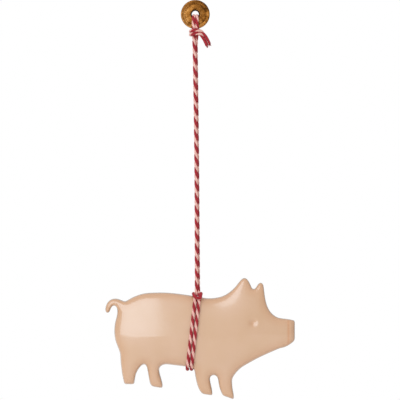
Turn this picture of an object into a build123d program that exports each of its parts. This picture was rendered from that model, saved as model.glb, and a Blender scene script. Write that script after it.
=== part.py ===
from build123d import *
from math import radians, sqrt, tan
import os

# Pig ornament on a twine, with a round metal tag at the top.
# Origin: centre of the tag's hole. X: towards the pig's snout. Y: away from the viewer. Z: up.

# Pig: outline
pig_length = 72.0
pig_height = 46.2
pig_left = -34.2
pig_bottom = -146.3

# Pig: pressing
half_thickness = 5.6
rim_height = 0.8
edge_rise = 0.9
edge_inset_share = 0.0085  # of the pig's length
wall = 0.7
crown_radius = 85.0
crown_sweep_radius = 300.0
crown_centre_share = (0.42, 0.52)

# Pig: eye and snout crease
eye_share = (0.782, 0.624)
eye_diameter = 3.2
eye_depth = 0.4
crease_share = (0.966, 0.567)
crease_diameter = 1.0
crease_depth = 0.25

# Tag
tag_diameter = 11.0
tag_hole_diameter = 3.3
tag_field_thickness = 0.9
tag_rim_width = 0.8
tag_lip_width = 0.6
tag_raise = 0.15
tag_edge_round = 0.25

# Twine: its own size, and its gaps to itself, to the pig and to the tag
twine_diameter = 1.4
twine_gap = 0.5
lay_gap = 0.2
tag_gap = 0.3
arc_share = 0.45

# Twine at the tag: the loop through the hole, the knot below it and the two free ends
loop_pitch = 1.46
loop_drop = 0.3
knot_top = -6.3
knot_height = 2.4
knot_width = 4.2
knot_depth = 5.2
knot_cut = 0.5
knot_round = 0.4
ends_pitch = 1.46
ends_reach = 3.4
ends_shares = [(0.0, 0.0), (0.38, 0.0), (0.73, -0.57), (1.0, -1.41)]
ends_shorter = 0.7

# Twine between the knot and the pig
hinge_gap = 0.15
strand_pitch = 1.5
turn_gap = 0.3

# Twine round the pig: where it crosses the back and the belly, and how high its ends stand
belt_top_share = (0.486, 0.846)
belt_bottom_share = (0.444, 0.265)
belt_shares = [0.2, 0.5, 0.8]
hitch_rise = 7.0
corner_reach = 1.2
bar_reach = 1.1
bar_rise = 1.9
sample_step = 0.4
bend_length = 6.0

# Shoulder of the pressing: shares of its rise and of its inset, from the rim up
shoulder_shares = [(0.0, 0.0), (0.45, 0.3), (1.0, 1.0)]

# Outline of the pig in shares of its length and height, round from the snout over the back
brow_shares = [
    (1.000, 0.650), (0.960, 0.661), (0.920, 0.669), (0.899, 0.682), (0.878, 0.708), (0.863, 0.740),
    (0.851, 0.784), (0.844, 0.829), (0.839, 0.883), (0.836, 0.924),
]
ear_shares = [
    (0.833, 0.947), (0.824, 0.961), (0.814, 0.959), (0.803, 0.940), (0.793, 0.914), (0.783, 0.904),
    (0.774, 0.914), (0.767, 0.940), (0.757, 0.971), (0.746, 0.993), (0.734, 1.000), (0.721, 0.991),
    (0.705, 0.962),
]
back_shares = [
    (0.683, 0.920), (0.653, 0.879), (0.622, 0.851), (0.585, 0.836), (0.537, 0.832), (0.490, 0.845),
    (0.440, 0.857), (0.384, 0.869), (0.321, 0.878), (0.257, 0.878), (0.203, 0.871), (0.158, 0.849),
    (0.125, 0.823), (0.104, 0.805),
]
tail_shares = [
    (0.085, 0.817), (0.059, 0.829), (0.033, 0.824), (0.013, 0.800), (0.003, 0.766), (0.000, 0.732),
    (0.008, 0.709), (0.022, 0.717), (0.029, 0.746), (0.042, 0.773), (0.057, 0.765), (0.064, 0.735),
]
rump_shares = [
    (0.061, 0.686), (0.052, 0.632), (0.048, 0.562), (0.053, 0.489), (0.067, 0.428), (0.078, 0.378),
    (0.082, 0.296), (0.089, 0.209), (0.100, 0.126),
]
hind_arch_shares = [
    (0.153, 0.125), (0.156, 0.156), (0.163, 0.211), (0.178, 0.255), (0.193, 0.281), (0.208, 0.291),
    (0.218, 0.272), (0.224, 0.230), (0.231, 0.168), (0.237, 0.127), (0.247, 0.107),
]
belly_shares = [
    (0.303, 0.093), (0.302, 0.127), (0.294, 0.177), (0.286, 0.222), (0.285, 0.254), (0.294, 0.275),
    (0.318, 0.289), (0.352, 0.284), (0.397, 0.276), (0.432, 0.268), (0.459, 0.260), (0.470, 0.236),
    (0.476, 0.181), (0.484, 0.127), (0.497, 0.076), (0.513, 0.045),
]
fore_arch_shares = [
    (0.567, 0.033), (0.562, 0.090), (0.555, 0.139), (0.552, 0.172), (0.558, 0.193), (0.572, 0.201),
    (0.586, 0.194), (0.594, 0.172), (0.598, 0.132), (0.606, 0.080), (0.620, 0.032),
]
jaw_shares = [
    (0.679, 0.000), (0.678, 0.037), (0.672, 0.086), (0.669, 0.140), (0.671, 0.173), (0.681, 0.200),
    (0.697, 0.231), (0.720, 0.264), (0.754, 0.296), (0.802, 0.337), (0.852, 0.374), (0.896, 0.404),
    (0.920, 0.420), (0.949, 0.431), (0.977, 0.456), (1.000, 0.485),
]

# Runs of the outline between its straight stretches: snout end and four hooves
skin_runs = [
    [brow_shares, ear_shares, back_shares, tail_shares, rump_shares],
    [hind_arch_shares],
    [belly_shares],
    [fore_arch_shares],
    [jaw_shares],
]

# The hollow follows brow, back, rump, belly and jaw, straight across snout, ears, tail and legs
hollow_loop_shares = (
    brow_shares[3:8] + back_shares[1:13] + rump_shares[:6] + belly_shares[7:9] + jaw_shares[8:13]
)

# Worked out from the sizes above
edge_inset = edge_inset_share * pig_length
twine_radius = twine_diameter / 2
twine_pitch = twine_diameter + twine_gap
crown_x = pig_left + crown_centre_share[0] * pig_length
crown_z = pig_bottom + crown_centre_share[1] * pig_height
crown_axis_y = crown_radius - half_thickness
tag_half = tag_field_thickness / 2 + tag_raise
loop_y = tag_half + tag_gap + twine_radius
knot_bottom = knot_top - knot_height
hinge_z = knot_bottom - hinge_gap - twine_radius


def on_pig(share):
    """Place of a share of the pig's length and height, in the X-Z plane."""
    return Vector(pig_left + share[0] * pig_length, pig_bottom + share[1] * pig_height)


def crown_sag(along):
    """How far the crown has fallen back at a distance along the pig from its highest place."""
    return crown_sweep_radius - sqrt(crown_sweep_radius**2 - along**2)


def crown_depth(place):
    """How far the crown stands from the seam above a place in the X-Z plane."""
    radius = crown_radius - crown_sag(place.X - crown_x)
    return sqrt(radius**2 - (place.Y - crown_z) ** 2) - crown_axis_y


def drawn_in(loop_shares, inset):
    """Places of a closed loop of shares, moved inwards: its sides all shift by the same inset."""
    loop = [on_pig(share) for share in loop_shares]
    places = []
    for before, place, after in zip(loop[-1:] + loop[:-1], loop, loop[1:] + loop[:1]):
        turn = (place - before).normalized() + (after - place).normalized()
        places.append(place + Vector(-turn.Y, turn.X) * (2 * inset / turn.length**2))
    return places


def draw_skin(inset):
    """Draw the pig's outline, drawn in by the inset: runs of splines joined by straight lines."""
    places = drawn_in([share for run in skin_runs for span in run for share in span], inset)
    start = places[0]
    for run in skin_runs:
        last = []
        for span in run:
            Spline(*last, *places[: len(span)])
            last = places[len(span) - 1 : len(span)]
            places = places[len(span) :]
        Line(last[0], (places + [start])[0])


def crown_solid(inset):
    """Solid behind the crown, drawn back by the inset: an arc revolved about an axis behind the pig."""
    reach = pig_length
    near = inset - half_thickness
    left = (crown_x - reach, near + crown_sag(reach))
    right = (crown_x + reach, near + crown_sag(reach))
    with BuildPart() as solid:
        with BuildSketch(Plane.XY.offset(crown_z)):
            with BuildLine():
                ThreePointArc(left, (crown_x, near), right)
                Polyline(left, (left[0], crown_axis_y), (right[0], crown_axis_y), right)
            make_face()
        revolve(axis=Axis((0, crown_axis_y, crown_z), (1, 0, 0)))
    return solid.part


# Hollow behind the crown, in the body and the head
with BuildPart() as hollow:
    with BuildSketch(Plane.XZ):
        with BuildLine():
            Polyline(*drawn_in(hollow_loop_shares, edge_inset + wall), close=True)
        make_face()
    extrude(amount=half_thickness)
    add(crown_solid(wall), mode=Mode.INTERSECT)

# Front pressing: a flat rim, a shoulder drawn in above it, and the crown
with BuildPart() as front_shell:
    with BuildSketch(Plane.XZ):
        with BuildLine():
            draw_skin(0)
        make_face()
    for rise_share, inset_share in shoulder_shares:
        with BuildSketch(Plane.XZ.offset(rim_height + rise_share * edge_rise)):
            with BuildLine():
                draw_skin(inset_share * edge_inset)
            make_face()
    with BuildSketch(Plane.XZ.offset(half_thickness)):
        with BuildLine():
            draw_skin(edge_inset)
        make_face()
    loft(ruled=True)
    add(crown_solid(0), mode=Mode.INTERSECT)
    add(hollow.part, mode=Mode.SUBTRACT)
    eye = on_pig(eye_share)
    eye_radius = ((eye_diameter / 2) ** 2 + eye_depth**2) / (2 * eye_depth)
    with Locations((eye.X, eye_depth - eye_radius - crown_depth(eye), eye.Y)):
        Sphere(eye_radius, mode=Mode.SUBTRACT)
    crease = on_pig(crease_share)
    crease_y = crease_depth - crease_diameter / 2 - crown_depth(crease)
    with BuildSketch(Plane.XY.offset(pig_bottom)):
        with Locations((crease.X, crease_y)):
            Circle(crease_diameter / 2)
    extrude(amount=pig_height, mode=Mode.SUBTRACT)
front_shell.part.label = "front_shell"

# Back pressing: the same, the other way round
with BuildPart() as back_shell:
    mirror(front_shell.part, about=Plane.XZ)
back_shell.part.label = "back_shell"

# Tag: a disc with a raised rim and a raised lip round its hole, on both sides
with BuildPart() as tag_disc:
    hole_radius = tag_hole_diameter / 2
    lip_radius = hole_radius + tag_lip_width
    tag_radius = tag_diameter / 2
    rim_radius = tag_radius - tag_rim_width
    field_half = tag_field_thickness / 2
    with BuildSketch(Plane.XY):
        with BuildLine():
            half_profile = Polyline(
                (hole_radius, 0),
                (hole_radius, tag_half),
                (lip_radius, tag_half),
                (lip_radius, field_half),
                (rim_radius, field_half),
                (rim_radius, tag_half),
                (tag_radius, tag_half),
                (tag_radius, 0),
            )
            mirror(half_profile, about=Plane.XZ)
        make_face()
    revolve(axis=Axis.Y)
    outer_edges = tag_disc.edges().filter_by(GeomType.CIRCLE).sort_by(SortBy.RADIUS)[-2:]
    fillet(outer_edges, radius=tag_edge_round)
tag_disc.part.label = "tag_disc"


def fair_radii(points):
    """For each corner of a route, an arc as large as the two runs beside it allow."""
    radii = []
    for before, place, after in zip(points, points[1:], points[2:]):
        turn = (place - before).get_angle(after - place)
        shorter = min((place - before).length, (after - place).length)
        radii.append(arc_share * shorter / tan(radians(turn / 2)))
    return radii


def twine_route(name, points):
    """The twine's centre line through the points, with its radii printed."""
    radii = fair_radii(points)
    print(name, "radii", [round(radius, 1) for radius in radii])
    with BuildLine() as route:
        FilletPolyline(*points, radius=radii)
    return route.wire()


def twine_tube(name, route):
    """One length of twine along a route, with its volume compared to section times length."""
    with BuildPart() as tube:
        with BuildSketch(Plane(origin=route @ 0, z_dir=route % 0)) as section:
            Circle(twine_radius)
        sweep(path=route)
    print(name, "length", round(route.length, 2), "volume", round(tube.part.volume, 2))
    print(name, "section by length", round(section.sketch.area * route.length, 2))
    return tube.part


# Twine at the tag: two lengths side by side, up behind the tag, through its hole and down in front
with BuildPart() as twine_tag_loop:
    for side in (-loop_pitch / 2, loop_pitch / 2):
        loop_points = [
            Vector(side, loop_y, knot_top),
            Vector(side, loop_y, -loop_drop),
            Vector(side, -loop_y, -loop_drop),
            Vector(side, -loop_y, knot_top),
        ]
        add(twine_tube("loop", twine_route("loop", loop_points)))
twine_tag_loop.part.label = "twine_tag_loop"

# Knot: one solid of the wraps' outer shape, cut flat where the free ends come out
with BuildPart() as twine_knot:
    with BuildSketch(Plane.XY.offset(knot_bottom)):
        Ellipse(knot_width / 2, knot_depth / 2)
    extrude(amount=knot_height)
    fillet(twine_knot.edges().group_by(Axis.Z)[0], radius=knot_round)
    split(bisect_by=Plane.YZ.offset(knot_width / 2 - knot_cut), keep=Keep.BOTTOM)
twine_knot.part.label = "twine_knot"

# Free ends: two short lengths out of the knot's side and down
with BuildPart() as twine_ends:
    for side, shorter in ((-ends_pitch / 2, 0), (ends_pitch / 2, ends_shorter)):
        start = Vector(knot_width / 2 - knot_cut, side, (knot_top + knot_bottom) / 2)
        ends_points = [start + Vector(along, 0, up) * ends_reach for along, up in ends_shares]
        ends_points[-1] += Vector(0, 0, shorter)
        add(twine_tube("free end", twine_route("free end", ends_points)))
twine_ends.part.label = "twine_ends"

# Strands: two straight lengths from below the knot to above the pig, with round tops
belt_top = on_pig(belt_top_share)
belt_bottom = on_pig(belt_bottom_share)
strands_bottom = belt_top.Y + hitch_rise + turn_gap
strands = []
for name, side in (("left", -1), ("right", 1)):
    top = Vector(side * strand_pitch / 2, 0, hinge_z)
    bottom = Vector(belt_top.X + side * twine_pitch / 2, 0, strands_bottom)
    with BuildPart() as strand:
        with BuildSketch(Plane(origin=top, z_dir=bottom - top)):
            Circle(twine_radius)
        extrude(amount=(bottom - top).length)
        with Locations(top):
            Sphere(twine_radius)
    strand.part.label = "twine_strand_" + name
    strands.append(strand.part)


def round_pig(side, depth, down_share, rise):
    """A place on the belt round the pig: across it, away from the seam, down it and above it."""
    place = belt_top + (belt_bottom - belt_top) * down_share
    return Vector(place.X + side, depth, place.Y + rise)


def belt_depth(down_share):
    """How far from the seam the twine's centre line runs on the belt."""
    place = belt_top + (belt_bottom - belt_top) * down_share
    return crown_depth(place) + lay_gap + twine_radius


def least_gap(route):
    """Least gap of a tube to itself, measured between points further apart than its bends."""
    count = round(route.length / sample_step)
    step = route.length / count
    places = [route.position_at(i * step, position_mode=PositionMode.LENGTH) for i in range(count + 1)]
    apart = round(bend_length / step)
    least = min(
        (first - second).length
        for i, first in enumerate(places)
        for second in places[i + apart :]
    )
    return least - twine_diameter


# Twine round the pig: down the front, up the back and through its own bight, as one length
beside = twine_pitch / 2
outside = 3 * twine_pitch / 2
lay = twine_radius + lay_gap
corner_top = belt_depth(0) - lay + corner_reach
corner_bottom = belt_depth(1) - lay + corner_reach
half_hitch = [
    (beside, 0, 0, hitch_rise),
    (beside, 0, 0, lay),
    (beside, -corner_top, 0, lay),
    *[(beside, -belt_depth(share), share, 0) for share in belt_shares],
    (beside, -corner_bottom, 1, -lay),
    (beside, 0, 1, -lay - lay_gap),
    (beside, corner_bottom, 1, -lay),
    *[(beside, belt_depth(share), share, 0) for share in reversed(belt_shares)],
    (twine_pitch, corner_top, 0, lay),
    (outside, 0, 0, bar_rise),
    (outside, -corner_top - bar_reach, 0, bar_rise),
]
hitch_points = [round_pig(-side, *rest) for side, *rest in half_hitch]
hitch_points += [round_pig(side, *rest) for side, *rest in reversed(half_hitch)]
hitch_route = twine_route("hitch", hitch_points)
print("hitch least gap", round(least_gap(hitch_route), 2))
with BuildPart() as twine_hitch:
    add(twine_tube("hitch", hitch_route))
twine_hitch.part.label = "twine_hitch"

# One file a piece
os.makedirs("parts", exist_ok=True)
pieces = [front_shell, back_shell, tag_disc, twine_tag_loop, twine_knot, twine_ends, twine_hitch]
for piece in [builder.part for builder in pieces] + strands:
    export_step(piece, "parts/" + piece.label + ".step")
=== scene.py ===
import math

import bmesh
import bpy
import numpy as np
from mathutils.geometry import delaunay_2d_cdt
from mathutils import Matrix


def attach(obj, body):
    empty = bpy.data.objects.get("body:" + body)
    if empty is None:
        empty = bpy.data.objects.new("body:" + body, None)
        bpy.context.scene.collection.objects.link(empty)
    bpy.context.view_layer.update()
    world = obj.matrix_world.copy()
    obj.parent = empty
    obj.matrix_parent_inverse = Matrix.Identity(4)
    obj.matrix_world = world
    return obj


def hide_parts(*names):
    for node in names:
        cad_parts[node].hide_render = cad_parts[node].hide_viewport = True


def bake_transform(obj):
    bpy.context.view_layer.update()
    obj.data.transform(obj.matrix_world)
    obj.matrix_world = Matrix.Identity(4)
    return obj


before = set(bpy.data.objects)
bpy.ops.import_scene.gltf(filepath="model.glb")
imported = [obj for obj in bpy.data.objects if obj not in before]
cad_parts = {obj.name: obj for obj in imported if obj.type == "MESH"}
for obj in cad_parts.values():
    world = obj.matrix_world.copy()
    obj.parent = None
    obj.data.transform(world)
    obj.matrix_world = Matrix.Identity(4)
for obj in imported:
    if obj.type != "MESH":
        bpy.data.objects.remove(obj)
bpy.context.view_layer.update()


# Hang tag: a small round disc of cast brass with a rolled rim and a lip round its hole.
# It is blackened and then rubbed, so the field is mottled and only the raised parts shine.
def linear(colour):
    """A colour written as sRGB hex, as the linear values that a socket takes."""
    values = [int(colour[i : i + 2], 16) / 255 for i in (1, 3, 5)]
    return [v / 12.92 if v <= 0.04045 else ((v + 0.055) / 1.055) ** 2.4 for v in values] + [1.0]


def add_node(tree, kind, inputs, stops=(), **settings):
    """Add a node: its settings, its inputs' values or links, and a ramp's stops."""
    node = tree.nodes.new(kind)
    for name, value in settings.items():
        setattr(node, name, value)
    for name, value in inputs.items():
        if isinstance(value, bpy.types.NodeSocket):
            tree.links.new(value, node.inputs[name])
        else:
            node.inputs[name].default_value = value
    for index, (place, colour) in enumerate(stops):
        ramp = node.color_ramp.elements
        stop = ramp[index] if index < 2 else ramp.new(place)
        stop.position = place
        stop.color = linear(colour)
    return node


def new_material(name):
    """A node material with nothing in its tree yet."""
    material = bpy.data.materials.new(name)
    material.use_nodes = True
    material.node_tree.nodes.clear()
    return material


def finish_piece(name, mesh, materials):
    """A smooth object at the origin from a mesh, its faces turned outwards."""
    shape = bmesh.new()
    shape.from_mesh(mesh)
    bmesh.ops.recalc_face_normals(shape, faces=shape.faces)
    shape.to_mesh(mesh)
    shape.free()
    mesh.shade_smooth()
    for material in materials:
        mesh.materials.append(material)
    piece = bpy.data.objects.new(name, mesh)
    bpy.context.collection.objects.link(piece)
    return piece


def add_piece(name, vertices, faces, materials):
    """A finished piece from its vertices and faces."""
    mesh = bpy.data.meshes.new(name)
    mesh.from_pydata([tuple(v) for v in vertices], [], [tuple(f) for f in faces])
    return finish_piece(name, mesh, materials)


def grow(name, group, sizes, base=None):
    """The plain mesh that a node tree makes with these sizes, from a base mesh if it takes one."""
    piece = bpy.data.objects.new(name, base or bpy.data.meshes.new(name))
    bpy.context.collection.objects.link(piece)
    modifier = piece.modifiers.new(name, "NODES")
    modifier.node_group = group
    for item in group.interface.items_tree:
        if item.in_out == "INPUT" and item.name in sizes:
            modifier[item.identifier] = sizes[item.name]
    grown = piece.evaluated_get(bpy.context.evaluated_depsgraph_get())
    mesh = bpy.data.meshes.new_from_object(grown)
    piece.modifiers.clear()
    piece.data = mesh
    return piece


brass = new_material("antique brass, cast and rubbed")
tree = brass.node_tree
place = add_node(tree, "ShaderNodeTexCoord", {}).outputs["Object"]
# Patches of dark finish about 1.5 mm across, left where the rubbing wheel missed
patches = add_node(
    tree, "ShaderNodeTexNoise",
    {"Vector": place, "Scale": 640.0, "Detail": 4.0, "Roughness": 0.62, "Distortion": 0.6},
)
# Painted light and shade: the colour is lighter towards the lower left of the disc and darker towards
# its upper right
rubbed = add_node(
    tree, "ShaderNodeVectorMath", {0: place, 1: (-17.0, 0.0, -25.0)}, operation="DOT_PRODUCT"
)
# The patina patches and the painted light and shade from one side, added together
finish = add_node(
    tree, "ShaderNodeMath", {0: patches.outputs["Fac"], 1: rubbed.outputs["Value"]}, operation="ADD"
)
tone = add_node(
    tree, "ShaderNodeValToRGB", {"Fac": finish.outputs[0]},
    stops=[(0.24, "#4a2a0d"), (0.80, "#ca9152"), (0.50, "#8f5924")],
)
# Dark patina and painted shade fill the hole and the inside of its lip
dark_radius = 0.00170
hole_shade_edge = 0.00200
around_hole = add_node(
    tree, "ShaderNodeVectorMath", {0: place, 1: (1.0, 0.0, 1.0)}, operation="MULTIPLY"
)
from_hole = add_node(tree, "ShaderNodeVectorMath", {0: around_hole.outputs[0]}, operation="LENGTH")
hole_shade = add_node(
    tree, "ShaderNodeMapRange",
    {
        "Value": from_hole.outputs["Value"], "From Min": dark_radius, "From Max": hole_shade_edge,
        "To Min": 0.94, "To Max": 0.0,
    },
)
patina_and_painted_shade = add_node(
    tree, "ShaderNodeMix",
    {0: hole_shade.outputs[0], 6: tone.outputs["Color"], 7: linear("#2b1808")}, data_type="RGBA",
)
# Casting grain of about 0.2 mm
grain = add_node(
    tree, "ShaderNodeTexNoise", {"Vector": place, "Scale": 5200.0, "Detail": 2.0, "Roughness": 0.5}
)
relief = add_node(
    tree, "ShaderNodeMath", {0: patches.outputs["Fac"], 1: grain.outputs["Fac"]}, operation="ADD"
)
bump = add_node(
    tree, "ShaderNodeBump", {"Height": relief.outputs[0], "Strength": 0.35, "Distance": 0.00012}
)
dulling = add_node(
    tree, "ShaderNodeMapRange",
    {"Value": patches.outputs["Fac"], "From Min": 0.3, "From Max": 0.7, "To Min": 0.52, "To Max": 0.30},
)
surface = add_node(
    tree, "ShaderNodeBsdfPrincipled",
    {
        "Base Color": patina_and_painted_shade.outputs[2], "Metallic": 1.0,
        "Roughness": dulling.outputs[0], "Normal": bump.outputs[0],
    },
)
add_node(tree, "ShaderNodeOutputMaterial", {"Surface": surface.outputs[0]})

# Half of the disc's section, from the hole's narrowest place over the front to the rim, in millimetres
disc_profile = [
    (1.32, 0.0), (1.345, 0.14), (1.43, 0.31), (1.55, 0.45), (1.70, 0.55), (1.87, 0.60), (2.05, 0.59),
    (2.22, 0.54), (2.38, 0.50), (2.65, 0.48), (3.2, 0.455), (3.9, 0.42), (4.4, 0.40), (4.62, 0.43),
    (4.78, 0.50), (4.93, 0.57), (5.08, 0.60), (5.25, 0.57), (5.38, 0.49), (5.46, 0.36), (5.5, 0.18),
    (5.5, 0.0),
]
disc_segments = 128
millimetre = 0.001
ring = [(r * millimetre, -y * millimetre) for r, y in disc_profile]
ring += [(r, -y) for r, y in reversed(ring[1:-1])]
turns = [2 * math.pi * i / disc_segments for i in range(disc_segments)]
vertices = [(r * math.cos(a), y, r * math.sin(a)) for a in turns for r, y in ring]
faces = []
for i in range(disc_segments):
    for j in range(len(ring)):
        here = i * len(ring)
        across = (i + 1) % disc_segments * len(ring)
        up = (j + 1) % len(ring)
        faces.append((here + j, here + up, across + up, across + j))
tag = add_piece("brass_tag", vertices, faces, [brass])
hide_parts("tag_disc")
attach(tag, "tag")

# Bead border: a ring of cast beads inside the rim on both faces of the tag.
# They are part of the casting, of the same rubbed brass, and catch the light one by one.
beads = bpy.data.node_groups.new("bead border", "GeometryNodeTree")
beads.interface.new_socket("Beads", in_out="INPUT", socket_type="NodeSocketInt")
for name in ("Ring radius", "Bead radius", "Depth"):
    beads.interface.new_socket(name, in_out="INPUT", socket_type="NodeSocketFloat")
beads.interface.new_socket("Geometry", in_out="OUTPUT", socket_type="NodeSocketGeometry")
sizes = add_node(beads, "NodeGroupInput", {}).outputs
circle = add_node(
    beads, "GeometryNodeMeshCircle", {"Vertices": sizes["Beads"], "Radius": sizes["Ring radius"]}
)
bead = add_node(
    beads, "GeometryNodeMeshIcoSphere", {"Radius": sizes["Bead radius"], "Subdivisions": 2}
)
border = add_node(
    beads, "GeometryNodeInstanceOnPoints",
    {"Points": circle.outputs["Mesh"], "Instance": bead.outputs["Mesh"]},
)
both = add_node(beads, "GeometryNodeJoinGeometry", {})
for side in (-1.0, 1.0):
    depth = add_node(beads, "ShaderNodeMath", {0: sizes["Depth"], 1: side}, operation="MULTIPLY")
    shift = add_node(beads, "ShaderNodeCombineXYZ", {"Y": depth.outputs[0]})
    stood = add_node(
        beads, "GeometryNodeTransform",
        {
            "Geometry": border.outputs["Instances"], "Translation": shift.outputs[0],
            "Rotation": (math.radians(90), 0, 0),
        },
    )
    beads.links.new(stood.outputs[0], both.inputs[0])
solid = add_node(beads, "GeometryNodeRealizeInstances", {"Geometry": both.outputs[0]})
smooth = add_node(beads, "GeometryNodeSetShadeSmooth", {"Geometry": solid.outputs[0]})
finished = add_node(
    beads, "GeometryNodeSetMaterial", {"Geometry": smooth.outputs[0], "Material": brass}
)
add_node(beads, "NodeGroupOutput", {"Geometry": finished.outputs[0]})
bead_sizes = {"Beads": 34, "Ring radius": 0.00400, "Bead radius": 0.00032, "Depth": 0.00038}
bead_border = grow("bead_border", beads, bead_sizes)
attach(bead_border, "tag")


# Twine: two-ply cotton string, one ply dyed red and one left natural, laid up in an S twist.
# Here it passes up in front of the tag, through the hole and down behind it, twice.
lay_length = 0.0048
# Each ply is an oval tube beside the twine's middle line: the red one is wider than the natural one
ply_offset = 0.00034
ply_depth = 0.00036
ply_widths = (0.00057, 0.00048)
ply_step = 0.00028
ply_sides = 14


def read_route(points):
    """Places a ply step apart on the smooth line that a route's points control."""
    curve = bpy.data.curves.new("route", "CURVE")
    curve.dimensions = "3D"
    curve.resolution_u = 24
    spline = curve.splines.new("NURBS")
    spline.points.add(len(points) - 1)
    for point, place in zip(spline.points, points):
        point.co = (*place, 1)
    spline.order_u = 3
    spline.use_endpoint_u = True
    route = bpy.data.objects.new("route", curve)
    mesh = bpy.data.meshes.new_from_object(route)
    line = np.array([v.co for v in mesh.vertices])
    bpy.data.objects.remove(route)
    bpy.data.curves.remove(curve)
    bpy.data.meshes.remove(mesh)
    travelled = np.concatenate([[0], np.cumsum(np.linalg.norm(np.diff(line, axis=0), axis=1))])
    even = np.linspace(0, travelled[-1], round(travelled[-1] / ply_step) + 1)
    return np.stack([np.interp(even, travelled, axis) for axis in line.T], axis=1)


def unit(vectors):
    """Vectors made one long."""
    return vectors / np.linalg.norm(vectors, axis=-1, keepdims=True)


def lay_plies(line, toward, turn_length=lay_length):
    """Two plies laid up along a line: their mesh, where their tips are and where the red one ends.

    The red ply starts on the side that toward points to.
    """
    along = unit(np.gradient(line, axis=0))
    across = [unit(toward - (toward @ along[0]) * along[0])]
    for direction in along[1:]:
        across.append(unit(across[-1] - (across[-1] @ direction) * direction))
    across = np.array(across)
    beside = np.cross(along, across)
    travelled = np.arange(len(line)) * np.linalg.norm(line[1] - line[0])
    turns = np.cumsum(travelled[1] / np.broadcast_to(turn_length, len(line)))
    vertices, faces, corners, numbers, tips, ends = [], [], [], [], [], []
    for ply in (0, 1):
        turn = (math.pi * ply - 2 * math.pi * turns)[:, None]
        outward = np.cos(turn) * across + np.sin(turn) * beside
        ends.append(outward[-1])
        centre = line + ply_offset * outward
        onward = unit(np.gradient(centre, axis=0))
        side = unit(np.cross(onward, outward))
        radial = np.cross(side, onward)
        first = sum(len(block) for block in vertices)
        angles = math.pi + 2 * math.pi * np.arange(ply_sides) / ply_sides
        for here, r, s in zip(centre, radial, side):
            thick = ply_depth * np.outer(np.cos(angles), r)
            wide = ply_widths[ply] * np.outer(np.sin(angles), s)
            vertices.append(here + thick + wide)
        vertices.append(centre[[0, -1]])
        tips.append((centre[-1], onward[-1], ply))
        rows = len(line)
        for i in range(rows - 1):
            for j in range(ply_sides):
                low = first + i * ply_sides
                high = low + ply_sides
                k = (j + 1) % ply_sides
                faces.append((low + j, low + k, high + k, high + j))
                u, next_u = j / ply_sides, (j + 1) / ply_sides
                v, next_v = travelled[i] / millimetre, travelled[i + 1] / millimetre
                corners.append([(u, v), (next_u, v), (next_u, next_v), (u, next_v)])
        tip = first + rows * ply_sides
        for j in range(ply_sides):
            k = (j + 1) % ply_sides
            high = first + (rows - 1) * ply_sides
            faces.append((tip, first + k, first + j))
            faces.append((tip + 1, high + j, high + k))
            corners.append([(j / ply_sides, 0.0)] * 3)
            corners.append([(j / ply_sides, travelled[-1] / millimetre)] * 3)
        numbers += [ply] * (len(faces) - len(numbers))
    return {
        "vertices": np.concatenate(vertices), "faces": faces, "corners": corners, "plies": numbers,
        "tips": tips, "end side": ends[0],
    }


def twine_piece(name, strands):
    """One piece of twine from the plies of one or more strands."""
    vertices, faces, corners, numbers = [], [], [], []
    for strand in strands:
        first = sum(len(block) for block in vertices)
        vertices.append(strand["vertices"])
        faces += [tuple(first + v for v in face) for face in strand["faces"]]
        corners += strand["corners"]
        numbers += strand["plies"]
    mesh = bpy.data.meshes.new(name)
    mesh.from_pydata(np.concatenate(vertices).tolist(), [], faces)
    mesh.uv_layers.new(name="along the ply")
    mesh.uv_layers[0].data.foreach_set("uv", np.concatenate([np.ravel(c) for c in corners]))
    mesh.polygons.foreach_set("material_index", numbers)
    piece = finish_piece(name, mesh, (red_cotton, natural_cotton))
    return piece


def dye_cotton(name, shadow, body, tip):
    """Spun cotton: fibres that wind round the ply, a matt surface with a little fuzz."""
    material = new_material(name)
    tree = material.node_tree
    ply = add_node(tree, "ShaderNodeUVMap", {}, uv_map="along the ply").outputs[0]
    # Fibre bundles about 0.1 mm wide, drawn coarser than real fibres so that they show
    wound = add_node(
        tree, "ShaderNodeMapping",
        {"Vector": ply, "Rotation": (0, 0, math.radians(-24)), "Scale": (22.0, 1.1, 1.0)},
    )
    fibres = add_node(
        tree, "ShaderNodeTexNoise",
        {"Vector": wound.outputs[0], "Scale": 1.0, "Detail": 3.0, "Roughness": 0.6, "Distortion": 0.3},
    )
    # The ramp's dark stop is painted shade between the fibre bundles
    tone = add_node(
        tree, "ShaderNodeValToRGB", {"Fac": fibres.outputs["Fac"]},
        stops=[(0.25, shadow), (0.78, tip), (0.5, body)],
    )
    bump = add_node(
        tree, "ShaderNodeBump",
        {"Height": fibres.outputs["Fac"], "Strength": 0.5, "Distance": 0.00010},
    )
    surface = add_node(
        tree, "ShaderNodeBsdfPrincipled",
        {
            "Base Color": tone.outputs["Color"], "Roughness": 0.85, "Sheen Weight": 0.10,
            "Sheen Roughness": 0.5, "Normal": bump.outputs[0],
        },
    )
    add_node(tree, "ShaderNodeOutputMaterial", {"Surface": surface.outputs[0]})
    return material


red_cotton = dye_cotton("dyed red cotton ply", "#560912", "#a3121f", "#bb2c38")
natural_cotton = dye_cotton("natural cotton ply", "#ac6a5e", "#edb1a2", "#fad6ca")

# A strand's distance aside and from the tag's middle plane, and its height, at the knot and in the hole
foot_side, foot_depth, foot_height = 0.00066, 0.00145, -0.0066
hole_side, hole_depth, hole_height = 0.00060, 0.0018, -0.00055
loop_routes = [
    [
        (foot_side * side, -foot_depth, foot_height), (hole_side * side, -hole_depth, hole_height),
        (hole_side * side, hole_depth, hole_height), (foot_side * side, foot_depth, foot_height),
    ]
    for side in (-1, 1)
]
loop_strands = [
    lay_plies(read_route(route), np.array(red_side))
    for route, red_side in zip(loop_routes, [(0, -1, 0), (-1, 0, 0)])
]
tag_loop = twine_piece("twine_tag_loop_plies", loop_strands)
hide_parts("twine_tag_loop")
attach(tag_loop, "knot")


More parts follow.
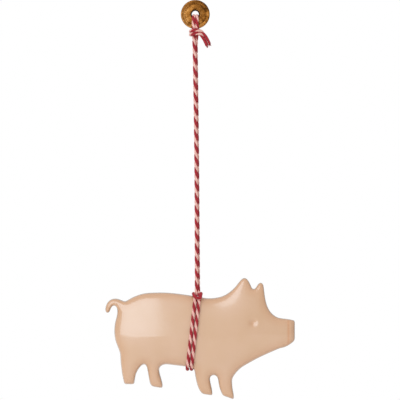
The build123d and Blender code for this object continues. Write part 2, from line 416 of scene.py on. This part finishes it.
# Knot: an overhand knot that ties the doubled twine below the tag, and the two cut ends.
# The ends come round behind the standing twine, cross in front of it and leave to the right.
upper_strand, lower_strand = 0.00052, -0.00072
knot_routes = [
    [
        (0.0004, -0.0010, -0.0062), (0.0014, 0.0002, -0.0066 + rise * 0.4),
        (0.0011, 0.0020, -0.0069 + rise), (-0.0009, 0.0024, -0.0069 + rise),
        (-0.0020, 0.0003, -0.0070 + rise), (-0.0013, -0.0021, -0.0068 + rise),
        (0.0004, -0.0026, -0.0065 + rise), (0.0018, -0.0023, -0.0067 + rise * 0.9),
        (0.0031 + rise * 0.4, -0.0017, -0.0080 + rise * 0.75),
        (0.0042 + rise * 0.6, -0.0013, -0.0098 + rise * 0.6),
        (0.0049 + rise * 0.75, -0.0010, -0.0116 + rise * 0.45),
    ]
    for rise in (upper_strand, lower_strand)
]
# The cut ends have come unlaid, so that the red ply faces forwards for most of their length
knot_lay = 0.0045
end_lay = 0.040
knotted_length = 0.0146
knot_strands = []
for route in knot_routes:
    line = read_route(route)
    along_route = ply_step * np.arange(len(line))
    lays = np.where(along_route < knotted_length, knot_lay, end_lay)
    knot_strands.append(lay_plies(line, np.array((0, 1, -1)), lays))
knot = twine_piece("twine_knot_and_ends", knot_strands)
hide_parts("twine_knot", "twine_ends")
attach(knot, "knot")

# Frayed tips: loose cotton fibres that stand out of each cut ply, a little under a millimetre.
# Real fibres are thinner than a hair, so these are drawn as small bundles of them.
fray = bpy.data.node_groups.new("frayed tips", "GeometryNodeTree")
fray.interface.new_socket("Tips", in_out="INPUT", socket_type="NodeSocketGeometry")
fray.interface.new_socket("Fibres", in_out="INPUT", socket_type="NodeSocketInt")
for name in ("Length", "Thickness", "Spread", "Tip radius"):
    fray.interface.new_socket(name, in_out="INPUT", socket_type="NodeSocketFloat")
fray.interface.new_socket("Geometry", in_out="OUTPUT", socket_type="NodeSocketGeometry")
sizes = add_node(fray, "NodeGroupInput", {}).outputs
many = add_node(
    fray, "GeometryNodeDuplicateElements", {"Geometry": sizes["Tips"], "Amount": sizes["Fibres"]},
    domain="POINT",
)
jitter = add_node(
    fray, "FunctionNodeRandomValue", {0: (-1.0, -1.0, -1.0), 1: (1.0, 1.0, 1.0), "Seed": 4},
    data_type="FLOAT_VECTOR",
)
offset = add_node(
    fray, "ShaderNodeVectorMath", {0: jitter.outputs[0], "Scale": sizes["Tip radius"]},
    operation="SCALE",
)
spots = add_node(
    fray, "GeometryNodeSetPosition", {"Geometry": many.outputs["Geometry"], "Offset": offset.outputs[0]}
)
heading = add_node(
    fray, "GeometryNodeInputNamedAttribute", {"Name": "heading"}, data_type="FLOAT_VECTOR"
)
wander = add_node(
    fray, "ShaderNodeVectorMath", {0: jitter.outputs[0], "Scale": sizes["Spread"]}, operation="SCALE"
)
aim = add_node(
    fray, "ShaderNodeVectorMath", {0: heading.outputs[0], 1: wander.outputs[0]}, operation="ADD"
)
turned = add_node(fray, "FunctionNodeAlignRotationToVector", {"Vector": aim.outputs[0]}, axis="Z")
# A fibre's length is between these two shares of the full length
stretch = add_node(
    fray, "FunctionNodeRandomValue", {2: 0.45, 3: 1.0, "Seed": 11}, data_type="FLOAT"
)
half = add_node(fray, "ShaderNodeMath", {0: sizes["Length"], 1: 0.5}, operation="MULTIPLY")
bow = add_node(fray, "ShaderNodeMath", {0: sizes["Length"], 1: 0.25}, operation="MULTIPLY")
middle = add_node(fray, "ShaderNodeCombineXYZ", {"X": bow.outputs[0], "Z": half.outputs[0]})
far = add_node(fray, "ShaderNodeCombineXYZ", {"Z": sizes["Length"]})
fibre_line = add_node(
    fray, "GeometryNodeCurveQuadraticBezier",
    {"Resolution": 4, "Start": (0, 0, 0), "Middle": middle.outputs[0], "End": far.outputs[0]},
)
fibre_section = add_node(
    fray, "GeometryNodeCurvePrimitiveCircle", {"Resolution": 4, "Radius": sizes["Thickness"]}
)
fibre = add_node(
    fray, "GeometryNodeCurveToMesh",
    {"Curve": fibre_line.outputs[0], "Profile Curve": fibre_section.outputs[0], "Fill Caps": True},
)
tuft = add_node(
    fray, "GeometryNodeInstanceOnPoints",
    {
        "Points": spots.outputs[0], "Instance": fibre.outputs[0], "Rotation": turned.outputs[0],
        "Scale": stretch.outputs[1],
    },
)
solid = add_node(fray, "GeometryNodeRealizeInstances", {"Geometry": tuft.outputs[0]})
dyed = add_node(fray, "GeometryNodeInputNamedAttribute", {"Name": "dyed"}, data_type="BOOLEAN")
plain = add_node(
    fray, "GeometryNodeSetMaterial", {"Geometry": solid.outputs[0], "Material": natural_cotton}
)
finished = add_node(
    fray, "GeometryNodeSetMaterial",
    {"Geometry": plain.outputs[0], "Selection": dyed.outputs[0], "Material": red_cotton},
)
add_node(fray, "NodeGroupOutput", {"Geometry": finished.outputs[0]})
root_depth = 0.0001
tips = [tip for strand in knot_strands for tip in strand["tips"]]
tip_mesh = bpy.data.meshes.new("tips")
tip_mesh.from_pydata([tuple(centre - root_depth * onward) for centre, onward, ply in tips], [], [])
tip_mesh.attributes.new("heading", "FLOAT_VECTOR", "POINT").data.foreach_set(
    "vector", np.ravel([onward for centre, onward, ply in tips])
)
tip_mesh.attributes.new("dyed", "BOOLEAN", "POINT").data.foreach_set(
    "value", [ply == 0 for centre, onward, ply in tips]
)
fray_sizes = {
    "Fibres": 26, "Length": 0.0009, "Thickness": 0.00004, "Spread": 0.34, "Tip radius": 0.00020,
}
frayed_tips = grow("frayed_tips", fray, fray_sizes, tip_mesh)
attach(frayed_tips, "knot")


# Hanging twine and hitch: one length that comes down from the knot, is laid round the pig in a
# lark's head and goes back up beside itself. The weight of the pig keeps all of it straight.
pig_left = -0.0342
pig_bottom = -0.1463
pig_length = 0.072
pig_height = 0.0462
belt_top = np.array([pig_left + 0.486 * pig_length, pig_bottom + 0.846 * pig_height])
belt_bottom = np.array([pig_left + 0.444 * pig_length, pig_bottom + 0.265 * pig_height])
belt_side = 0.00077
parting_height = belt_top[1] + 0.0026


def round_pig(side, depth, share, rise):
    """A place on the belt round the pig: across it, away from the seam, down it and above it."""
    x, z = belt_top + (belt_bottom - belt_top) * share
    return (x + side, depth, z + rise)


# The strand in front and the one behind it, from the knot down to the hitch
front_route = [
    (-0.00055, -0.0002, -0.0078), (-0.0004, -0.0006, -0.0105), (-0.0002, -0.0007, -0.020),
    (0.00035, -0.0007, -0.055), (0.00045, -0.0007, -0.088), (0.0005, -0.0006, -0.0999),
]
back_route = [
    (0.00055, 0.0002, -0.0078), (0.0002, 0.0006, -0.0105), (0.00035, 0.0007, -0.020),
    (0.0008, 0.0007, -0.055), (0.0010, 0.0007, -0.088), (0.0011, 0.0006, -0.0999),
]
# The belt hugs the pressings: its distance from the seam, its share of the way down and its rise
down_face = [
    (0.00435, 0.07, 0), (0.00525, 0.193, 0), (0.00598, 0.352, 0), (0.00626, 0.538, 0),
    (0.00602, 0.705, 0), (0.00536, 0.853, 0), (0.00460, 0.949, 0), (0.0033, 1, -0.00020),
    (0.0015, 1, -0.00072),
]
# From where the strands part, round the pig and up to the bar that crosses over them
half_hitch = [
    (0.00055, -0.0016, 0, 0.00072),
    (0.00070, -0.0032, 0, 0.00015),
    *[(belt_side, -depth, share, rise) for depth, share, rise in down_face],
    *[(belt_side, depth, share, rise) for depth, share, rise in reversed(down_face)],
    (0.0010, 0.0032, 0, 0.00015),
    (0.0012, 0.0014, 0, 0.0008),
    (0.0014, -0.0018, 0, 0.0012),
    (0.0014, -0.0040, 0, 0.0010),
]
bar = [(-0.0009, -0.0050, 0, -0.0001), (0.0011, -0.0052, 0, -0.0009)]
hitch_route = [
    front_route[-1],
    (0.0005, -0.0005, parting_height),
    *[round_pig(-side, *rest) for side, *rest in half_hitch],
    *[round_pig(*rest) for rest in bar],
    *[round_pig(side, *rest) for side, *rest in reversed(half_hitch)],
    (0.0011, 0.0005, parting_height),
    back_route[-1],
]
# How far along the hitch each lay reaches, and the lay: down the front, up the back, over the bar,
# down the back and up the front. The bar's long lay keeps red on top of it.
hitch_lays = [
    (0.0450, 0.004843), (0.07785, 0.004527), (0.08585, 0.0400), (0.1187, 0.004348), (0.1700, 0.004976),
]

down_line = read_route(front_route)
hitch_line = read_route(hitch_route)
up_line = read_route(back_route[::-1])
down = lay_plies(down_line, np.array((0, -1, 0)))
along_hitch = ply_step * np.arange(len(hitch_line))
lays = np.select([along_hitch < reach for reach, lay in hitch_lays], [lay for reach, lay in hitch_lays])
hitch = lay_plies(hitch_line, down["end side"], lays)
up = lay_plies(up_line, hitch["end side"])


for name, plies, line, node in (
    ("twine_strand_front", down, down_line, "twine_strand_left"),
    ("twine_strand_back", up, up_line, "twine_strand_right"),
):
    strand = twine_piece(name, [plies])
    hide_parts(node)
    top = line[0] if line[0][2] > line[-1][2] else line[-1]
    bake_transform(strand)

twine_hitch = twine_piece("twine_hitch_plies", [hitch])
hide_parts("twine_hitch")
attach(twine_hitch, "pig")


# Pig: two thin steel pressings, front and back, closed on each other along the pig's outline.
# Each has a low rim, a rounded shoulder and a gently crowned face, with a dimple for the eye and
# a shallow crease behind the snout. They are sprayed in peach enamel, with painted shade along the
# edges.
# The outline comes in runs between the square ends of snout and hooves, as shares of the pig's size
runs = [
    [
        (1.000, 0.650), (0.960, 0.661), (0.920, 0.669), (0.899, 0.682), (0.878, 0.708), (0.863, 0.740),
        (0.851, 0.784), (0.844, 0.829), (0.839, 0.883), (0.836, 0.924),
        (0.833, 0.947), (0.824, 0.961), (0.814, 0.959), (0.803, 0.940), (0.793, 0.914), (0.783, 0.904),
        (0.774, 0.914), (0.767, 0.940), (0.757, 0.971), (0.746, 0.993), (0.734, 1.000), (0.721, 0.991),
        (0.705, 0.962),
        (0.683, 0.920), (0.653, 0.879), (0.622, 0.851), (0.585, 0.836), (0.537, 0.832), (0.490, 0.845),
        (0.440, 0.857), (0.384, 0.869), (0.321, 0.878), (0.257, 0.878), (0.203, 0.871), (0.158, 0.849),
        (0.125, 0.823), (0.104, 0.805),
        (0.085, 0.817), (0.059, 0.829), (0.033, 0.824), (0.013, 0.800), (0.003, 0.766), (0.000, 0.732),
        (0.008, 0.709), (0.022, 0.717), (0.029, 0.746), (0.042, 0.773), (0.057, 0.765), (0.064, 0.735),
        (0.061, 0.686), (0.052, 0.632), (0.048, 0.562), (0.053, 0.489), (0.067, 0.428), (0.078, 0.378),
        (0.082, 0.296), (0.089, 0.209), (0.100, 0.126),
    ],
    [
        (0.153, 0.125), (0.156, 0.156), (0.163, 0.211), (0.178, 0.255), (0.193, 0.281), (0.208, 0.291),
        (0.218, 0.272), (0.224, 0.230), (0.231, 0.168), (0.237, 0.127), (0.247, 0.107),
    ],
    [
        (0.303, 0.093), (0.302, 0.127), (0.294, 0.177), (0.286, 0.222), (0.285, 0.254), (0.294, 0.275),
        (0.318, 0.289), (0.352, 0.284), (0.397, 0.276), (0.432, 0.268), (0.459, 0.260), (0.470, 0.236),
        (0.476, 0.181), (0.484, 0.127), (0.497, 0.076), (0.513, 0.045),
    ],
    [
        (0.567, 0.033), (0.562, 0.090), (0.555, 0.139), (0.552, 0.172), (0.558, 0.193), (0.572, 0.201),
        (0.586, 0.194), (0.594, 0.172), (0.598, 0.132), (0.606, 0.080), (0.620, 0.032),
    ],
    [
        (0.679, 0.000), (0.678, 0.037), (0.672, 0.086), (0.669, 0.140), (0.671, 0.173), (0.681, 0.200),
        (0.697, 0.231), (0.720, 0.264), (0.754, 0.296), (0.802, 0.337), (0.852, 0.374), (0.896, 0.404),
        (0.920, 0.420), (0.949, 0.431), (0.977, 0.456), (1.000, 0.485),
    ],
]
steps_between_marks = 12
outline_step = 0.00033
rounding_passes = 5
rim_height = 0.0008
shoulder_reach = 0.0009
# The face's crown: its highest place, its radius up and down and its wider radius along the pig
face_top = (pig_left, 0.00595, pig_bottom + 0.465 * pig_height)
face_radius = 0.30
face_sweep = 1.3
# The face rises within each of these reaches of the edge by this share of its height
puffs = ((0.005, 0.20), (0.008, 0.34))
eye_x = pig_left + 0.7775 * pig_length
eye_z = pig_bottom + 0.630 * pig_height
eye_reach = 0.0027
dimple_width = 0.00145
dimple_depth = 0.00058
crease_x = pig_left + 0.966 * pig_length
crease_reach = 0.0013
crease_width = 0.0004
crease_depth = 0.00006
# Each inset from the seam, and its height: the rim turns in to a gap too thin to see
seam_levels = [(0.0, 0.00012), (0.00006, 0.00003)]


def smooth_run(shares):
    """Places close together on a smooth line through a run of the outline."""
    marks = np.array(shares) * (pig_length, pig_height) + (pig_left, pig_bottom)
    marks = np.concatenate([2 * marks[:1] - marks[1:2], marks, 2 * marks[-1:] - marks[-2:-1]])
    places = []
    for a, b, c, d in zip(marks, marks[1:], marks[2:], marks[3:]):
        for t in np.linspace(0, 1, steps_between_marks, endpoint=False):
            bend = (2 * a - 5 * b + 4 * c - d) * t**2 + (3 * b - a - 3 * c + d) * t**3
            places.append(b + ((c - a) * t + bend) / 2)
    return places + [marks[-2]]


def closed_steps(places, step):
    """A closed line divided into even steps."""
    closed = np.concatenate([places, places[:1]])
    travelled = np.concatenate([[0], np.cumsum(np.linalg.norm(np.diff(closed, axis=0), axis=1))])
    even = np.linspace(0, travelled[-1], round(travelled[-1] / step), endpoint=False)
    return np.stack([np.interp(even, travelled, axis) for axis in closed.T], axis=1)


def to_outline(places, at_once=400):
    """Each place's distance to the outline, below zero outside it."""
    start, end = outline, np.roll(outline, -1, axis=0)
    run = end - start
    found = []
    for block in np.array_split(places, max(1, len(places) // at_once)):
        gap = block[:, None] - start
        share = np.clip((gap * run).sum(2) / (run**2).sum(1), 0, 1)
        near = np.linalg.norm(gap - share[..., None] * run, axis=2).min(1)
        above = (start[:, 1] > block[:, 1:]) != (end[:, 1] > block[:, 1:])
        climb = np.where(run[:, 1], run[:, 1], 1)
        crossing = start[:, 0] + (block[:, 1:] - start[:, 1]) * run[:, 0] / climb
        inside = (above & (block[:, :1] < crossing)).sum(1) % 2
        found.append(np.where(inside, near, -near))
    return np.concatenate(found)


outline = closed_steps(np.array([place for run in runs for place in smooth_run(run)]), outline_step)
# Hoof and snout corners are rounded over by about half a millimetre
for _ in range(rounding_passes):
    outline = (np.roll(outline, 1, axis=0) + 2 * outline + np.roll(outline, -1, axis=0)) / 4
outline = closed_steps(outline, outline_step)
heading = unit(np.roll(outline, -1, axis=0) - np.roll(outline, 1, axis=0))
inward = np.stack([-heading[:, 1], heading[:, 0]], axis=1)

# The mesh follows the edge in rings, has finer steps round the eye and along the crease, and even
# triangles between them. A ring leaves out the places that another part of the edge is nearer to.
ring_insets = [0.0001, 0.00024, 0.00042, 0.00066, 0.00095, 0.0013]
least_inset_share = 0.93
face_step = 0.00055
eye_step_out = 0.0003
eye_step_round = 0.00035
crease_step_across = 0.00026
crease_step_along = 0.0005
clear_of_detail = 0.0002
clear_of_rings = 0.0003
marks = []
for inset in ring_insets:
    ring = outline + inset * inward
    marks.append(ring[to_outline(ring) > least_inset_share * inset])
for reach in np.arange(0, eye_reach, eye_step_out):
    count = max(1, round(2 * math.pi * reach / eye_step_round))
    angles = 2 * math.pi * np.arange(count) / count
    marks.append(np.stack([eye_x + reach * np.cos(angles), eye_z + reach * np.sin(angles)], axis=1))
crease_grid = np.meshgrid(
    crease_x + np.arange(-crease_reach, crease_reach + crease_step_across / 2, crease_step_across),
    np.arange(pig_bottom, pig_bottom + pig_height, crease_step_along),
)
crease_marks = np.stack([axis.ravel() for axis in crease_grid], axis=1)
rows = np.arange(pig_bottom, pig_bottom + pig_height, face_step * math.sqrt(3) / 2)
face_marks = np.array([
    (x + face_step / 2 * (i % 2), z)
    for i, z in enumerate(rows)
    for x in np.arange(pig_left, pig_left + pig_length, face_step)
])
from_eye = np.hypot(face_marks[:, 0] - eye_x, face_marks[:, 1] - eye_z)
from_crease = abs(face_marks[:, 0] - crease_x)
plain_face = (from_eye > eye_reach + clear_of_detail) & (from_crease > crease_reach + clear_of_detail)
face_marks = np.concatenate([face_marks[plain_face], crease_marks])
marks.append(face_marks[to_outline(face_marks) > ring_insets[-1] + clear_of_rings])
flat = np.concatenate([outline, *marks])
rim_count = len(outline)
rim_edges = [(i, (i + 1) % rim_count) for i in range(rim_count)]
per_millimetre = 1 / millimetre
inside_only = 1
merge_within = 1e-5
cut = delaunay_2d_cdt(
    [tuple(per_millimetre * p) for p in flat], rim_edges, [], inside_only, merge_within
)
places = np.array([tuple(p) for p in cut[0]]) / per_millimetre
triangles = np.array(cut[2])
came_from = [ids[0] if ids else -1 for ids in cut[3]]
on_rim = {source: index for index, source in enumerate(came_from) if 0 <= source < rim_count}
rim = np.array([on_rim[i] for i in range(rim_count)])


def settle(reach, most_rounds=600, settled_energy=1e-22):
    """A smooth rise over the pig's face, 0 at the rim and near 1 further from it than the reach.

    It is the height of a stretched skin that is pinned at the rim and pushed up from below, and
    is found by conjugate gradients.
    """
    corner = places[triangles]
    stiff_pairs, weights = [], []
    area = np.zeros(len(places))
    size = abs(np.cross(corner[:, 1] - corner[:, 0], corner[:, 2] - corner[:, 0])) / 2
    for k in range(3):
        a, b, c = (triangles[:, (k + i) % 3] for i in range(3))
        left, right = places[a] - places[c], places[b] - places[c]
        stiff_pairs.append(np.stack([a, b], axis=1))
        weights.append((left * right).sum(1) / (4 * size))
        np.add.at(area, a, size / 3)
    pairs, weight = np.concatenate(stiff_pairs), np.concatenate(weights)
    free = np.ones(len(places), bool)
    free[rim] = False

    def pull(rise):
        flow = weight * (rise[pairs[:, 0]] - rise[pairs[:, 1]])
        total = np.bincount(pairs[:, 0], flow, len(rise)) - np.bincount(pairs[:, 1], flow, len(rise))
        return np.where(free, area * rise + reach**2 * total, 0)

    spread = np.bincount(pairs.ravel(), np.repeat(weight, 2), len(places))
    ease = np.where(free, 1 / (area + reach**2 * spread), 0)
    rise = np.zeros(len(places))
    rest = np.where(free, area, 0)
    step = ease * rest
    energy = rest @ step
    for _ in range(most_rounds):
        moved = pull(step)
        share = energy / (step @ moved)
        rise += share * step
        rest = rest - share * moved
        eased = ease * rest
        next_energy = rest @ eased
        if next_energy < settled_energy:
            break
        step = eased + next_energy / energy * step
        energy = next_energy
    return rise


shoulder = settle(shoulder_reach)
shoulder = np.sqrt(np.clip(shoulder * (2 - shoulder), 0, 1))
rise = np.full(len(places), 1 - sum(share for reach, share in puffs))
for reach, share in puffs:
    puff = settle(reach)
    rise += share * puff / puff.max()
rise *= shoulder
spine = face_radius - face_sweep + np.sqrt(face_sweep**2 - (places[:, 0] - face_top[0]) ** 2)
crown = np.sqrt(spine**2 - (places[:, 1] - face_top[2]) ** 2) - (face_radius - face_top[1])
eye_gap = np.hypot(places[:, 0] - eye_x, places[:, 1] - eye_z)
dimple = np.exp(-((eye_gap / dimple_width) ** 2))
crease = np.exp(-(((places[:, 0] - crease_x) / crease_width) ** 2)) * shoulder
depth = rim_height + (crown - rim_height) * rise - dimple_depth * dimple - crease_depth * crease
from_edge = to_outline(places)
# Painted shade: darker and more orange in the crease and, half as much, in the eye dimple
crease_and_eye_shade = np.maximum(crease, 0.5 * dimple)

enamel = new_material("peach enamel, sprayed on pressed steel")
tree = enamel.node_tree
place = add_node(tree, "ShaderNodeTexCoord", {}).outputs["Object"]
edge = add_node(tree, "ShaderNodeAttribute", {}, attribute_name="millimetres from edge").outputs["Fac"]
crease_shade = add_node(tree, "ShaderNodeAttribute", {}, attribute_name="in a crease").outputs["Fac"]
# Faint clouds about 12 mm across where the coat is thicker
clouds = add_node(
    tree, "ShaderNodeTexNoise", {"Vector": place, "Scale": 85.0, "Detail": 2.0, "Roughness": 0.45}
)
coat = add_node(
    tree, "ShaderNodeValToRGB", {"Fac": clouds.outputs["Fac"]},
    stops=[(0.30, "#d3a783"), (0.70, "#d7ac8c")],
)
# Painted shade: the colour turns warmer and darker within 4 mm of the edge, and grey-brown on the edge
# itself
edge_shade = add_node(
    tree, "ShaderNodeMapRange",
    {"Value": edge, "From Min": 0.2, "From Max": 4.5, "To Min": 0.55, "To Max": 0.0},
    interpolation_type="SMOOTHSTEP",
)
edge_shaded = add_node(
    tree, "ShaderNodeMix",
    {0: edge_shade.outputs[0], 6: coat.outputs["Color"], 7: linear("#cf9a72")}, data_type="RGBA",
)
edge_line_shade = add_node(
    tree, "ShaderNodeMapRange",
    {"Value": edge, "From Min": 0.03, "From Max": 0.32, "To Min": 1.0, "To Max": 0.0},
)
edge_line_shaded = add_node(
    tree, "ShaderNodeMix",
    {0: edge_line_shade.outputs[0], 6: edge_shaded.outputs[2], 7: linear("#a8876c")}, data_type="RGBA",
)
# Painted shade in the crease and the eye
crease_shade_share = add_node(tree, "ShaderNodeMapRange", {"Value": crease_shade, "To Max": 0.6})
colour = add_node(
    tree, "ShaderNodeMix",
    {0: crease_shade_share.outputs[0], 6: edge_line_shaded.outputs[2], 7: linear("#cf8d60")}, data_type="RGBA",
)
# Painted shade: the end of the snout, past the crease, is greyer
grey_starts = 0.0360
grey_full = 0.0366
forwards = add_node(tree, "ShaderNodeSeparateXYZ", {"Vector": place}).outputs["X"]
snout_end_shade = add_node(
    tree, "ShaderNodeMapRange",
    {"Value": forwards, "From Min": grey_starts, "From Max": grey_full, "To Max": 0.25},
)
finished = add_node(
    tree, "ShaderNodeMix",
    {0: snout_end_shade.outputs[0], 6: colour.outputs[2], 7: linear("#ab8a72")}, data_type="RGBA",
)
# Orange peel of the sprayed coat, about 2.4 mm from crest to crest
peel = add_node(
    tree, "ShaderNodeTexNoise", {"Vector": place, "Scale": 420.0, "Detail": 1.0, "Roughness": 0.4}
)
bump = add_node(
    tree, "ShaderNodeBump", {"Height": peel.outputs["Fac"], "Strength": 0.10, "Distance": 0.00005}
)
surface = add_node(
    tree, "ShaderNodeBsdfPrincipled",
    {
        "Base Color": finished.outputs[2], "Roughness": 0.28, "IOR": 1.5, "Coat Weight": 0.9,
        "Coat Roughness": 0.06, "Normal": bump.outputs[0], "Coat Normal": bump.outputs[0],
    },
)
add_node(tree, "ShaderNodeOutputMaterial", {"Surface": surface.outputs[0]})

# Each pressing is closed behind by a flat back along the seam
back_cut = delaunay_2d_cdt(
    [tuple(per_millimetre * p) for p in outline], rim_edges, [], inside_only, merge_within
)
back_sources = [ids[0] for ids in back_cut[3]]
for side, name, node in ((-1, "front_pressing", "front_shell"), (1, "back_pressing", "back_shell")):
    vertices = [(x, side * y, z) for (x, z), y in zip(places, depth)]
    faces = [tuple(triangle) for triangle in triangles]
    upper = [int(i) for i in rim]
    for inset, level in seam_levels:
        ring = outline + inset * inward
        lower = list(range(len(vertices), len(vertices) + rim_count))
        vertices += [(x, side * level, z) for x, z in ring]
        for i in range(rim_count):
            j = (i + 1) % rim_count
            faces.append((upper[i], upper[j], lower[j], lower[i]))
        upper = lower
    faces += [tuple(upper[back_sources[v]] for v in face) for face in back_cut[2]]
    pressing = add_piece(name, vertices, faces, [enamel])
    behind = np.zeros(len(vertices) - len(places))
    for title, values in (
        ("millimetres from edge", from_edge * per_millimetre), ("in a crease", crease_and_eye_shade)
    ):
        layer = pressing.data.attributes.new(title, "FLOAT", "POINT")
        layer.data.foreach_set("value", np.concatenate([values, behind]).astype(np.float32))
    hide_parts(node)
    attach(pressing, "pig")


# Studio: a white floor, a large softbox on the upper left that is brighter in its middle, and even
# light all round. The room behind looks plain white to the camera.
floor_z = -0.30
floor_half = 2.5
white_floor = new_material("white floor")
tree = white_floor.node_tree
ray = add_node(tree, "ShaderNodeLightPath", {}).outputs
mirrored = add_node(
    tree, "ShaderNodeMath", {0: ray["Is Glossy Ray"], 1: ray["Is Transmission Ray"]},
    operation="MAXIMUM",
)
matt = add_node(tree, "ShaderNodeBsdfDiffuse", {"Color": linear("#ebebeb")})
white = add_node(tree, "ShaderNodeEmission", {"Color": (1, 1, 1, 1), "Strength": 1.0})
mixed = add_node(
    tree, "ShaderNodeMixShader", {0: mirrored.outputs[0], 1: matt.outputs[0], 2: white.outputs[0]}
)
add_node(tree, "ShaderNodeOutputMaterial", {"Surface": mixed.outputs[0]})
corners = [(-1, -1), (1, -1), (1, 1), (-1, 1)]
floor = add_piece(
    "studio_floor", [(floor_half * x, floor_half * y, floor_z) for x, y in corners], [(0, 1, 2, 3)],
    [white_floor],
)

world = bpy.data.worlds.new("soft room light")
bpy.context.scene.world = world
world.use_nodes = True
tree = world.node_tree
tree.nodes.clear()
ray = add_node(tree, "ShaderNodeLightPath", {}).outputs
around = add_node(tree, "ShaderNodeTexCoord", {}).outputs["Generated"]
# Brighter from above and from the left, dimmer from the right
lean = add_node(
    tree, "ShaderNodeVectorMath", {0: around, 1: (-0.5, 0.0, 0.86)}, operation="DOT_PRODUCT"
)
level = add_node(
    tree, "ShaderNodeMapRange",
    {"Value": lean.outputs["Value"], "From Min": -1.0, "From Max": 1.0, "To Min": 0.45, "To Max": 0.80},
)
room = add_node(tree, "ShaderNodeBackground", {"Color": (1, 1, 1, 1), "Strength": level.outputs[0]})
white = add_node(tree, "ShaderNodeBackground", {"Color": (1, 1, 1, 1), "Strength": 1.0})
lit = add_node(
    tree, "ShaderNodeMixShader", {0: ray["Is Camera Ray"], 1: room.outputs[0], 2: white.outputs[0]}
)
add_node(tree, "ShaderNodeOutputWorld", {"Surface": lit.outputs[0]})

lamp_distance = 1.0
cool_light = (0.74, 0.89, 1.0)
fade_starts = 0.88
for name, left, right, bottom, top, glow in (
    ("softbox", -0.80, 0.022, -0.215, 0.76, 3.2),
    ("softbox_core", -0.72, -0.30, -0.05, 0.45, 1.4),
):
    lamp = bpy.data.lights.new(name, "AREA")
    lamp.shape = "RECTANGLE"
    lamp.color = cool_light
    lamp.size = right - left
    lamp.size_y = top - bottom
    lamp.energy = glow * math.pi * lamp.size * lamp.size_y
    # The cloth of the box lets less light through towards its right edge
    lamp.use_nodes = True
    tree = lamp.node_tree
    tree.nodes.clear()
    spot = add_node(tree, "ShaderNodeNewGeometry", {}).outputs["Parametric"]
    on_cloth = add_node(tree, "ShaderNodeSeparateXYZ", {"Vector": spot})
    fade = add_node(
        tree, "ShaderNodeMapRange",
        {
            "Value": on_cloth.outputs["X"], "From Min": 1.0, "From Max": fade_starts,
            "To Min": 0.0, "To Max": 1.0,
        },
        interpolation_type="SMOOTHSTEP",
    )
    cloth = add_node(tree, "ShaderNodeEmission", {"Strength": fade.outputs[0]})
    add_node(tree, "ShaderNodeOutputLight", {"Surface": cloth.outputs[0]})
    hung = bpy.data.objects.new(name, lamp)
    hung.location = ((left + right) / 2, -lamp_distance, (bottom + top) / 2)
    hung.rotation_euler = (math.radians(90), 0, 0)
    bpy.context.collection.objects.link(hung)

camera_distance = 1.5
view_width = 0.152
view_x = 0.001786
view_z = -0.07053
sensor_width = 36
farthest = 20
lens = bpy.data.cameras.new("camera")
lens.sensor_width = sensor_width
lens.lens = sensor_width * camera_distance / view_width
lens.clip_end = farthest
camera = bpy.data.objects.new("camera", lens)
camera.location = (view_x, -camera_distance, view_z)
camera.rotation_euler = (math.radians(90), 0, 0)
bpy.context.collection.objects.link(camera)
bpy.context.scene.camera = camera
bpy.context.scene.view_settings.view_transform = "Standard"
